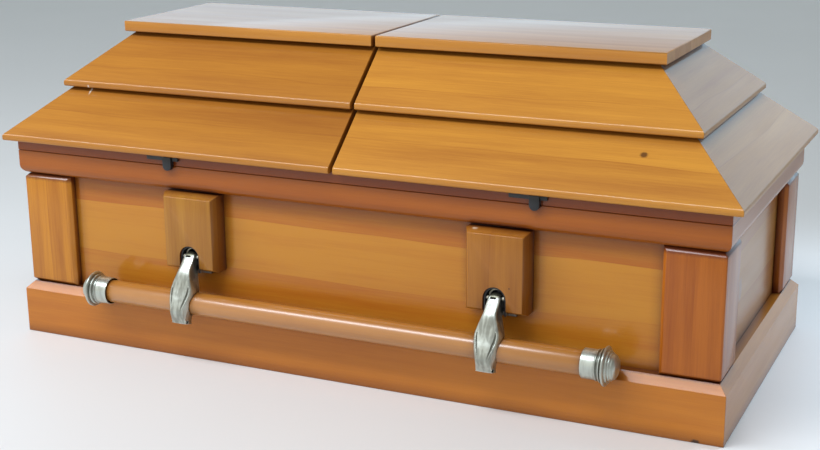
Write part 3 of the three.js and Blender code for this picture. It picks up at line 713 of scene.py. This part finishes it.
def turned(name, profile, steps):
    """A solid of revolution round the X axis from (place along X, radius) points, the last on the axis."""
    settle()
    bpy.ops.mesh.primitive_plane_add(size=0.001, location=(0, 0, 0))
    obj = started(name)
    edit(obj, action="SELECT")
    bpy.ops.mesh.merge(type="CENTER")
    place, radius = profile[0]
    bpy.ops.transform.translate(value=(place, 0, radius))
    for next_place, next_radius in profile[1:]:
        step = (next_place - place, 0, next_radius - radius)
        bpy.ops.mesh.extrude_region_move(TRANSFORM_OT_translate={"value": step})
        place, radius = next_place, next_radius
    bpy.ops.mesh.select_all(action="SELECT")
    bpy.ops.mesh.spin(steps=steps, angle=2 * pi, center=(0, 0, 0), axis=(1, 0, 0))
    bpy.ops.mesh.select_all(action="SELECT")
    bpy.ops.mesh.remove_doubles(threshold=WELD_DISTANCE)
    face_outwards()
    settle()
    return obj


def limited(step, longest):
    """A step brought back to at most this length."""
    return step * min(1.0, longest / step.length) if step.length else step


def rounded(corners, share=0.45, steps=3, longest=0.0007):
    """Softens a profile's corners with short curves."""
    corners = [Vector(corner) for corner in corners]
    points = [corners[0]]
    for before, corner, after in zip(corners, corners[1:], corners[2:]):
        start, end = (limited((other - corner) * share, longest) for other in (before, after))
        for index in range(steps + 1):
            t = index / steps
            points.append(corner + start * (1 - t) ** 2 + end * t ** 2)
    return [*points, corners[-1]]


def place_copy(source, name, matrix):
    """A copy of a piece with its own mesh, placed by a matrix that goes into the mesh."""
    settle()
    obj = source.copy()
    obj.data = source.data.copy()
    obj.name = name
    obj.data.name = name
    bpy.context.scene.collection.objects.link(obj)
    obj.data.transform(matrix)
    if matrix.determinant() < 0:
        obj.data.flip_normals()
    return obj


def middle(node):
    """The middle of a node's box."""
    low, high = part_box(node)
    return [(a + b) / 2 for a, b in zip(low, high)]


def side_sign(side):
    """Which way a long side faces along Y."""
    return -1 if side == "front" else 1


ARM_LEAN = radians(17.6)


def between(rows, length):
    """Smooth value of a table of (length, value) rows."""
    if length <= rows[0][0]:
        return rows[0][1]
    for (a, low), (b, high) in zip(rows, rows[1:]):
        if length <= b:
            share = (length - a) / (b - a)
            eased = share * share * (3 - 2 * share)
            return low + (high - low) * (0.5 * share + 0.5 * eased)
    return rows[-1][1]


# The arm's sections, in millimetres at a length below its pivot: half width, front edge, crown, back and cheek
ARM_WIDTH = [
    (-9, 2.6), (-7.5, 6.2), (-4.5, 8.8), (0, 10.0), (5, 10.4), (10, 10.5), (15, 10.4), (21, 10.6), (27, 11.6),
    (33, 13.2), (39, 15.2), (45, 17.4), (54, 19.5), (60, 19.6), (66, 18.8), (75, 16.8), (85, 13.8), (92, 12.2),
    (98, 11.4), (104, 12.2), (108, 13.6), (111, 14.4), (112.3, 14.0),
]
ARM_EDGE = [
    (-9, -1), (-7.5, 2), (-4.5, 4.8), (0, 6.8), (3, 8.2), (8, 10.6), (13, 13.1), (18, 15.5), (23, 17.6),
    (28, 19.1), (34, 20.0), (45, 20.0), (54, 20.4), (63, 21.8), (75, 24.7), (85, 26.4), (93, 26.6), (98, 25.0),
    (104, 19.5), (108, 15.2), (112.3, 13.6),
]
ARM_CROWN = [
    (-9, 1.4), (-7.5, 2.6), (-4.5, 3.2), (0, 3.2), (9, 2.8), (21, 3.2), (45, 3.8), (60, 4.0), (80, 3.8),
    (98, 2.6), (112.3, 1.6),
]
ARM_BACK = [
    (-9, 1), (-7.5, 3), (-4.5, 4.6), (0, 4.6), (16, 4.6), (20, 5.4), (22, 8.4), (25, 10.2), (37, 10.6), (46, 9),
    (56, 9.6), (98, 9), (104, 6), (112.3, 5),
]
ARM_CHEEK = [
    (-9, 2), (-4.5, 8.2), (0, 9.8), (14, 10.2), (21, 11.2), (28, 12.8), (37, 16.2), (46, 20.2), (55, 23.8),
    (62, 24.4), (70, 23.6), (78, 22.4), (88, 21.2), (94, 19.6), (99, 17.0), (104, 14.8), (112.3, 13.8),
]
ARM_STATIONS = [
    -9, -8.4, -7.5, -6, -4.5, -2.2, 0, 3, 6, 9, 12, 15, 18, 20, 22, 24, 27, 31, 36, 42, 48, 54, 60, 66, 72, 78, 84,
    89, 93, 96.5, 99.5, 102.5, 105.5, 108, 110, 111.4, 112.3,
]
ARM_POINTS = 26
SIDE_POINTS = 6
SHOULDER_DROP = 4
DEEPEST_SHOULDER = 13
BACK_EASE = (1.6, 1.4)


def arm_ring(length):
    """One cross-section of the arm as (x, y, z) in metres: a crowned front, flat sides and an eased back."""
    half, edge, crown, back, cheek = (
        between(rows, length) for rows in (ARM_WIDTH, ARM_EDGE, ARM_CROWN, ARM_BACK, ARM_CHEEK)
    )
    shoulder = min(edge - SHOULDER_DROP, DEEPEST_SHOULDER) if edge > 2 * SHOULDER_DROP else edge * 0.4
    front_points = ARM_POINTS - SIDE_POINTS
    ring = []
    for index in range(front_points + 1):
        angle = -pi / 2 + pi * index / front_points
        ring.append((half * sin(angle), -(edge + crown * cos(angle)), -length))
    for side in (1, -1):
        sides = [(side * cheek, -shoulder, -length), (side * half, back - BACK_EASE[1], -length),
                 (side * (half - BACK_EASE[0]), back, -length)]
        ring += sides if side > 0 else sides[::-1]
    return [tuple(value / 1000 for value in point) for point in ring]


SIDEWAYS = (0, pi / 2, 0)
BAR_REACH = 0.0763
SADDLE_RADIUS = 0.0193
ARM_CUTS = {
    "saddle": dict(
        kind="rod", location=(0, 0, -BAR_REACH), scale=(SADDLE_RADIUS, SADDLE_RADIUS, 0.03), rotation=SIDEWAYS,
        vertices=64,
    ),
    "throat": dict(kind="block", location=(0, 0.0205, -BAR_REACH), scale=(0.03, 0.0205, SADDLE_RADIUS)),
    "slot": dict(kind="rod", location=(-0.0012, -0.0092, -0.0001), scale=(0.005, 0.004, 0.00105)),
    "foot_pocket": dict(kind="block", location=(0, -0.0045, -0.1155), scale=(0.0098, 0.0062, 0.009)),
}
EAR_BORE = Vector((0.0135, -0.0115, -0.1085))
EAR_BORE_SIZE = (0.0033, 0.0036, 0.005)


def cutter(name, kind, location, scale, rotation=(0, 0, 0), vertices=48):
    """A tool body for a cut, from a primitive at its size and place."""
    settle()
    place = {"location": location, "rotation": rotation}
    if kind == "rod":
        bpy.ops.mesh.primitive_cylinder_add(vertices=vertices, radius=1, depth=2, **place)
    else:
        bpy.ops.mesh.primitive_cube_add(size=2, **place)
    tool = started(name)
    tool.scale = scale
    hold(tool)
    bpy.ops.object.transform_apply(location=True, rotation=True, scale=True)
    return tool


def cut_away(obj, tool):
    """Takes the tool's body out of the piece, and the tool away."""
    finish_modifier(obj, "BOOLEAN", operation="DIFFERENCE", object=tool, solver="EXACT")
    bpy.data.objects.remove(tool)


# The groove beside each edge of the arm's front, in millimetres: run, inset from the edge, half width and depth
GROOVE_STEPS = 14
GROOVE_TOP = 43
GROOVE_RUN = 53
GROOVE_TAPER = 0.08
GROOVE_INSET = 4.0
GROOVE_BOW = 0.8
GROOVE_HALF_WIDTH = {1: 1.85, -1: 1.3}
GROOVE_DEPTH = 2.3


def groove_tool(side):
    """A thin bent blade that cuts the long groove beside one edge of the arm's front."""
    settle()
    bpy.ops.mesh.primitive_circle_add(vertices=8, radius=0.0001, fill_type="NGON", location=(0, 0, 0))
    blade = started("groove_blade")
    edit(blade, action="SELECT")
    for index in range(GROOVE_STEPS + 1):
        share = index / GROOVE_STEPS
        length = GROOVE_TOP + GROOVE_RUN * share
        swell = max(sin(pi * share), GROOVE_TAPER)
        half = between(ARM_WIDTH, length)
        across = side * (half - GROOVE_INSET - GROOVE_BOW * swell)
        bulge = sqrt(max(1 - (across / half) ** 2, 0))
        centre = Vector((across, -(between(ARM_EDGE, length) + between(ARM_CROWN, length) * bulge), -length))
        if index:
            step = (0, 0, -GROOVE_RUN / 1000 / GROOVE_STEPS)
            bpy.ops.mesh.extrude_region_move(TRANSFORM_OT_translate={"value": step})
        shape = bmesh.from_edit_mesh(blade.data)
        ring = sorted((vertex for vertex in shape.verts if vertex.select), key=lambda vertex: vertex.index)
        for turn, vertex in enumerate(ring):
            angle = 2 * pi * turn / len(ring)
            wide = cos(angle) * GROOVE_HALF_WIDTH[side] * swell
            vertex.co = (centre + Vector((wide, sin(angle) * GROOVE_DEPTH * swell, 0))) / 1000
        bmesh.update_edit_mesh(blade.data)
    face_outwards()
    settle()
    return blade


def cast_arm():
    """The swing arm, modelled hanging straight down from its pivot at the origin."""
    metal = bpy.context.scene.coffin_metal
    settle()
    bpy.ops.mesh.primitive_circle_add(vertices=ARM_POINTS + 1, radius=0.001, fill_type="NGON", location=(0, 0, 0))
    obj = started("arm_model")
    shape = edit(obj)
    ring = sorted(shape.verts, key=lambda vertex: vertex.index)
    for vertex, place in zip(ring, arm_ring(ARM_STATIONS[0])):
        vertex.co = place
        vertex.select_set(True)
    shape.select_flush(True)
    bmesh.update_edit_mesh(obj.data)
    for before, length in zip(ARM_STATIONS, ARM_STATIONS[1:]):
        step = (0, 0, -(length - before) / 1000)
        bpy.ops.mesh.extrude_region_move(TRANSFORM_OT_translate={"value": step})
        shape = bmesh.from_edit_mesh(obj.data)
        pairs = list(zip(arm_ring(before), arm_ring(length)))
        for vertex in [vertex for vertex in shape.verts if vertex.select]:
            x, y, _ = vertex.co
            vertex.co = min(pairs, key=lambda pair: (pair[0][0] - x) ** 2 + (pair[0][1] - y) ** 2)[1]
        bmesh.update_edit_mesh(obj.data)
    face_outwards()
    finish_modifier(obj, "SUBSURF", levels=1, render_levels=1)
    for name, cut in ARM_CUTS.items():
        cut_away(obj, cutter(name, **cut))
    for side in (-1, 1):
        cut_away(obj, groove_tool(side))
        ear = EAR_BORE * Vector((side, 1, 1))
        cut_away(obj, cutter("ear_bore", "rod", ear, EAR_BORE_SIZE, SIDEWAYS))
    finish_modifier(obj, "REMESH", mode="VOXEL", voxel_size=metal.voxel)
    finish_modifier(obj, "SMOOTH", factor=0.5, iterations=5)
    hold(obj)
    bpy.ops.object.shade_smooth()
    return obj


# The cap's profile as (place along the bar, radius) in millimetres, from inside its bore to its tip
CAP_PROFILE = [
    (32.3, 0.0), (32.3, 19.5), (10.0, 19.5), (10.0, 21.3), (0.3, 21.3), (0.0, 21.8), (0.5, 22.7), (21.0, 22.7),
    (21.3, 23.2), (22.9, 24.5), (24.6, 23.1), (25.4, 22.2), (26.6, 22.6), (27.8, 25.2), (29.2, 26.2), (30.6, 25.4),
    (31.4, 24.4), (32.2, 25.2), (33.4, 29.4), (35.0, 30.4), (36.6, 29.7), (37.6, 26.6), (38.0, 24.9), (40.6, 24.4),
    (41.2, 22.7), (41.6, 21.9), (43.6, 21.7), (44.2, 20.5), (45.0, 19.8), (47.6, 19.0), (50.0, 16.9), (52.0, 13.4),
    (53.4, 9.0), (54.1, 4.4), (54.3, 0.0),
]
CAP_BORE_POINTS = 3
BAR_END = [(0.0, 0.0), (0.0, 0.0178), (0.0003, 0.0184), (0.001, 0.0189)]
BAR_RADIUS = 0.01895
TURN_STEPS = 72
TURNED_ANGLE = 40
UPRIGHT_EASE = 0.0009
IRON_EASE = 0.0003


def turned_cap(name):
    """The bar's end cap along +X from its mouth, whose profile is turned in one piece."""
    points = [(x / 1000, r / 1000) for x, r in CAP_PROFILE]
    cap = turned(name, points[:CAP_BORE_POINTS] + rounded(points[CAP_BORE_POINTS:]), TURN_STEPS)
    smooth(cap, TURNED_ANGLE)
    return cap


class COFFIN_OT_materials(bpy.types.Operator):
    """Mixes the stains, lacquer and metal finishes"""

    bl_idname = "coffin.materials"
    bl_label = "Finishes"

    def execute(self, context):
        make_materials()
        return {"FINISHED"}


class COFFIN_OT_box(bpy.types.Operator):
    """Eases the plinth, walls, rails, rim strips and floor of the box"""

    bl_idname = "coffin.box"
    bl_label = "Box"

    def execute(self, context):
        kinds = [("bottom", "bottom_board", "wall_long")]
        for side in LONG_SIDES + ENDS:
            run = "long" if side in LONG_SIDES else "end"
            kinds += [
                (f"plinth_board_{side}", f"plinth_{side}", f"plinth_{run}"),
                (f"wall_board_{side}", f"box_wall_{side}", f"wall_{run}"),
                (f"rail_{side}", f"cap_rail_{side}", f"rail_{run}"),
                (f"rim_{side}", f"rim_strip_{side}", f"rim_{run}"),
            ]
        boards(kinds)
        return {"FINISHED"}


class COFFIN_OT_casings(bpy.types.Operator):
    """Eases the corner casings and the handle blocks"""

    bl_idname = "coffin.casings"
    bl_label = "Corner casings and blocks"

    def execute(self, context):
        for side, hand in QUARTERS:
            for kind, piece in (("corner_casing", "casing"), ("handle_block", "block")):
                node = f"{kind}_{side}_{hand}"
                obj = eased_copy(f"{piece}_{side}_{hand}", node, UPRIGHT_EASE, mitred=False)
                fasten(obj, MATERIALS[f"{piece}_{hand}"], "upright_wood", node)
        return {"FINISHED"}


class COFFIN_OT_lid(bpy.types.Operator):
    """Eases the sloping boards and slabs of both lid halves"""

    bl_idname = "coffin.lid"
    bl_label = "Lid"

    def execute(self, context):
        kinds = []
        for hand in ENDS:
            for tier in ("lower", "upper"):
                for side, run in (("front", "long"), ("end", "end"), ("back", "long")):
                    place = f"{hand}_{tier}_{side}"
                    kinds.append((f"lid_board_{place}", f"lid_{place}", f"slope_{run}_{hand}"))
            kinds.append((f"lid_board_{hand}_slab", f"lid_{hand}_slab", "slab"))
        boards(kinds)
        return {"FINISHED"}


class COFFIN_OT_ironwork(bpy.types.Operator):
    """Eases the catches, lugs and strip hinges"""

    bl_idname = "coffin.ironwork"
    bl_label = "Catches, lugs and hinges"

    def execute(self, context):
        for hand in ENDS:
            for node, material in (
                (f"lid_{hand}_catch", "black"),
                (f"handle_lug_front_{hand}", "lug"),
                (f"handle_lug_back_{hand}", "lug"),
                (f"lid_{hand}_hinge_leaf", "hinge"),
                (f"rim_hinge_leaf_{hand}", "hinge"),
            ):
                obj = eased_copy(f"{node}_finished", node, IRON_EASE, mitred=False)
                slot = "hinge_metal" if material == "hinge" else "black_metal"
                fasten(obj, MATERIALS[material], slot, node)
        return {"FINISHED"}


class COFFIN_OT_bars(bpy.types.Operator):
    """Turns the wooden bars with eased ends"""

    bl_idname = "coffin.bars"
    bl_label = "Bars"

    def execute(self, context):
        for side in LONG_SIDES:
            node = f"handle_bar_{side}"
            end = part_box(node)[1][0]
            left = [(-end + inset, radius) for inset, radius in BAR_END]
            right = [(end - inset, radius) for inset, radius in reversed(BAR_END)]
            bar = turned(f"bar_{side}", [*left, (0.0, BAR_RADIUS), *right], TURN_STEPS)
            _, y, z = middle(node)
            bar.data.transform(Matrix.Translation((0, y, z)))
            smooth(bar, TURNED_ANGLE)
            fasten(bar, MATERIALS["bar"], "bar_wood", node)
        return {"FINISHED"}


class COFFIN_OT_caps(bpy.types.Operator):
    """Turns the ribbed end caps of the bars"""

    bl_idname = "coffin.caps"
    bl_label = "End caps"

    def execute(self, context):
        model = turned_cap("cap_model")
        for side, hand in QUARTERS:
            node = f"bar_cap_{side}_{hand}"
            low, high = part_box(node)
            _, y, z = middle(node)
            sign = 1 if hand == "right" else -1
            mouth = low[0] if sign > 0 else high[0]
            place = Matrix.Translation((mouth, y, z)) @ Matrix.Diagonal((sign, 1, 1, 1))
            cap = place_copy(model, f"cap_{side}_{hand}", place)
            fasten(cap, MATERIALS["pewter"], "pewter", node)
        bpy.data.objects.remove(model)
        return {"FINISHED"}


class COFFIN_OT_arms(bpy.types.Operator):
    """Casts the swing arms that carry the bars"""

    bl_idname = "coffin.arms"
    bl_label = "Swing arms"

    def execute(self, context):
        model = cast_arm()
        lean = Matrix.Rotation(-ARM_LEAN, 4, "X")
        for side, hand in QUARTERS:
            node = f"handle_arm_{side}_{hand}"
            turn = Matrix.Rotation(0 if side == "front" else pi, 4, "Z")
            shift = Matrix.Translation((middle(node)[0], side_sign(side) * PIVOT_Y, PIVOT_Z))
            arm = place_copy(model, f"arm_{side}_{hand}", shift @ turn @ lean)
            fasten(arm, MATERIALS["arm"], "pewter", node)
        bpy.data.objects.remove(model)
        return {"FINISHED"}


# Stage

WINDOW = {
    "place": (-1.1, -1.49, 2.33), "target": (-1.1, -0.304, 0.107), "width": 3.6, "height": 0.52, "power": 76,
    "colour": (0.92, 0.97, 1.05),
}
FLOOR_GLOW = {"place": (1.12, 0.30, 3.2), "spread": 34, "power": 300, "colour": (0.78, 0.94, 1.12)}


def light(name, kind, place, power, colour):
    """Puts a light into the scene, and hands back the object and its data."""
    data = bpy.data.lights.new(name, kind)
    data.energy = power
    data.color = colour
    obj = bpy.data.objects.new(name, data)
    bpy.context.scene.collection.objects.link(obj)
    obj.location = place
    return obj, data


def window(place, target, width, height, power, colour):
    """A soft rectangular light that points at a spot."""
    obj, data = light("window", "AREA", place, power, colour)
    data.shape = "RECTANGLE"
    data.size = width
    data.size_y = height
    obj.rotation_euler = (Vector(target) - Vector(place)).to_track_quat("-Z", "Y").to_euler()


def floor_glow(place, spread, power, colour):
    """A soft round light straight down on the floor, which shines back into the polished end boards."""
    _, data = light("floor glow", "SPOT", place, power, colour)
    data.spot_size = radians(spread)
    data.spot_blend = 1.0
    data.shadow_soft_size = 0.2


# The room: colours, and where each part fades out along the view's depth, height and width
ROOM_DIM = (0.26, 0.235, 0.20)
ROOM_LEFT = (0.99, 0.96, 0.90)
ROOM_RIGHT = (0.36, 0.34, 0.31)
ROOM_BACK = (0.86, 1.22, 1.48)
BACK_DEPTH = (0.0, 0.5)
BACK_HEIGHT = (0.35, 0.65, 1.0, 0.0)
FRONT_DEPTH = (-0.35, 0.15, 1.0, 0.0)
FRONT_HEIGHT = (0.5, 0.8, 1.0, 0.0)
FRONT_WIDTH = (-0.25, 0.45)


def surround():
    """A plain pale room: bright behind the coffin, dimmer in front and overhead."""
    world = bpy.data.worlds.new("Room")
    bpy.context.scene.world = world
    world.use_nodes = True
    tree = world.node_tree
    way = tree.nodes.new("ShaderNodeTexCoord").outputs["Generated"]
    across, depth, height = add(tree, "ShaderNodeSeparateXYZ", {0: way}).outputs
    behind = math(tree, "MULTIPLY", span(tree, depth, *BACK_DEPTH), span(tree, height, *BACK_HEIGHT))
    ahead = math(tree, "MULTIPLY", span(tree, depth, *FRONT_DEPTH), span(tree, height, *FRONT_HEIGHT))
    front = blend_colour(tree, span(tree, across, *FRONT_WIDTH), ROOM_LEFT, ROOM_RIGHT)
    plain = blend_colour(tree, ahead, ROOM_DIM, front)
    feed(tree, tree.nodes["Background"], {"Color": blend_colour(tree, behind, plain, ROOM_BACK), "Strength": 1.0})


FLOOR_SIZE = 14
FLOOR_DROP = 0.0006

# The camera: focal length and picture width in pixels, sensor in millimetres, yaw, pitch and roll, and place
CAMERA_FOCAL = 1439.2
PICTURE_WIDTH = 820
SENSOR_WIDTH = 36
CAMERA_ANGLES = (24.94, 15.78, -0.48)
CAMERA_PLACE = (1.0255, -2.2073, 0.8797)


def set_camera():
    """Puts the camera where the reference view was taken."""
    data = bpy.data.cameras.new("camera")
    data.sensor_width = SENSOR_WIDTH
    data.lens = CAMERA_FOCAL / PICTURE_WIDTH * SENSOR_WIDTH
    camera = bpy.data.objects.new("camera", data)
    bpy.context.scene.collection.objects.link(camera)
    yaw, pitch, roll = (radians(angle) for angle in CAMERA_ANGLES)
    forward = Vector((-sin(yaw) * cos(pitch), cos(yaw) * cos(pitch), -sin(pitch)))
    level = Vector((cos(yaw), sin(yaw), 0))
    upright = level.cross(forward)
    right = level * cos(roll) + upright * sin(roll)
    up = upright * cos(roll) - level * sin(roll)
    turn = Matrix((right, up, -forward)).transposed().to_4x4()
    camera.matrix_world = Matrix.Translation(CAMERA_PLACE) @ turn
    bpy.context.scene.camera = camera


class COFFIN_OT_stage(bpy.types.Operator):
    """Sets the floor, the light and the camera"""

    bl_idname = "coffin.stage"
    bl_label = "Stage"

    def execute(self, context):
        settle()
        bpy.ops.mesh.primitive_plane_add(size=FLOOR_SIZE, location=(0, 0, -FLOOR_DROP))
        floor = started("floor")
        floor.data.materials.append(floor_material("Floor"))
        surround()
        window(**WINDOW)
        floor_glow(**FLOOR_GLOW)
        set_camera()
        context.scene.view_settings.view_transform = "Standard"
        return {"FINISHED"}


class COFFIN_PT_panel(bpy.types.Panel):
    """Lists the steps that build the coffin"""

    bl_label = "Coffin"
    bl_idname = "COFFIN_PT_panel"
    bl_space_type = "VIEW_3D"
    bl_region_type = "UI"
    bl_category = "Coffin"

    def draw(self, context):
        for settings in (context.scene.coffin_wood, context.scene.coffin_metal):
            box = self.layout.box()
            for key in settings.__annotations__:
                box.prop(settings, key)
        for step in STEPS:
            self.layout.operator(step.bl_idname)


STEPS = (
    COFFIN_OT_materials,
    COFFIN_OT_box,
    COFFIN_OT_casings,
    COFFIN_OT_lid,
    COFFIN_OT_ironwork,
    COFFIN_OT_bars,
    COFFIN_OT_caps,
    COFFIN_OT_arms,
    COFFIN_OT_stage,
)
CLASSES = (CoffinWood, CoffinMetal, *STEPS, COFFIN_PT_panel)


def register():
    for cls in CLASSES:
        bpy.utils.register_class(cls)
    bpy.types.Scene.coffin_wood = bpy.props.PointerProperty(type=CoffinWood)
    bpy.types.Scene.coffin_metal = bpy.props.PointerProperty(type=CoffinMetal)


def unregister():
    del bpy.types.Scene.coffin_metal
    del bpy.types.Scene.coffin_wood
    for cls in reversed(CLASSES):
        bpy.utils.unregister_class(cls)


def main():
    register()
    bpy.ops.coffin.materials()
    bpy.ops.coffin.box()
    bpy.ops.coffin.casings()
    bpy.ops.coffin.lid()
    bpy.ops.coffin.ironwork()
    bpy.ops.coffin.bars()
    bpy.ops.coffin.caps()
    bpy.ops.coffin.arms()
    bpy.ops.coffin.stage()


if __name__ == "__main__":
    main()
